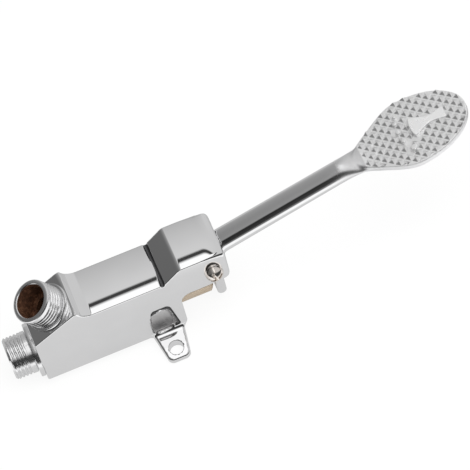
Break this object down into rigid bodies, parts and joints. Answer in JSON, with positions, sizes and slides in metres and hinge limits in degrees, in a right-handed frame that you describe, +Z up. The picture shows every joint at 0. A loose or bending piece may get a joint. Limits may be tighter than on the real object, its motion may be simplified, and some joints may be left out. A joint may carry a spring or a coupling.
{
  "type": "foot pedal tap valve",
  "caption": "Chromed brass tap valve worked by a foot pedal: a bell crank pushes a sprung stem that opens the way from a horizontal inlet to an inclined outlet.",
  "frame": {"origin": "midway between the two foot holes, on the plane of the feet's undersides", "axes": "+X along the body towards the pedal, +Z up out of the floor, near side of the picture on -Y"},
  "size_m": [0.2425, 0.0566, 0.0752],
  "materials": {
    "chrome_casting": "polished",
    "chrome_nipple": "polished",
    "chrome_lever": "polished",
    "brass": "machined",
    "steel": "plated",
    "rubber": "moulded",
    "packing": "turned"
  },
  "bodies": {
    "valve": {"body": "chrome_casting", "inlet_nipple": "chrome_nipple", "inlet_gasket": "rubber", "inlet_strainer": "steel", "outlet_nipple": "chrome_nipple", "outlet_gasket": "rubber", "valve_seat": "brass", "return_spring": "steel", "packing_ring": "packing", "gland_washer": "brass", "gland_nut": "brass", "pivot_screw": "steel", "pivot_washer": "steel", "pivot_nut": "steel"},
    "pedal": {"pedal_lever": "chrome_lever", "pivot_bush": "brass"},
    "stem": {"push_stem": "brass", "disc_holder": "brass", "seat_washer": "rubber", "disc_nut": "brass", "stem_seals": "rubber"}
  },
  "joints": [
    {"name": "pedal_pivot", "type": "hinge", "parent": "valve", "child": "pedal", "pos_m": [0.0287, 0, 0.0395], "axis": [0, 1, 0], "range_deg": [0, 8], "stiffness_Nm_per_rad": 2, "springref_deg": -22.92},
    {"name": "stem_slide", "type": "slide", "parent": "valve", "child": "stem", "axis": [-1, 0, 0], "range_m": [0, 0.0036], "deforming": ["return_spring"]}
  ],
  "couplings": [
    {"joint": "stem_slide", "follows": "pedal_pivot", "m_per_rad": 0.0257}
  ]
}
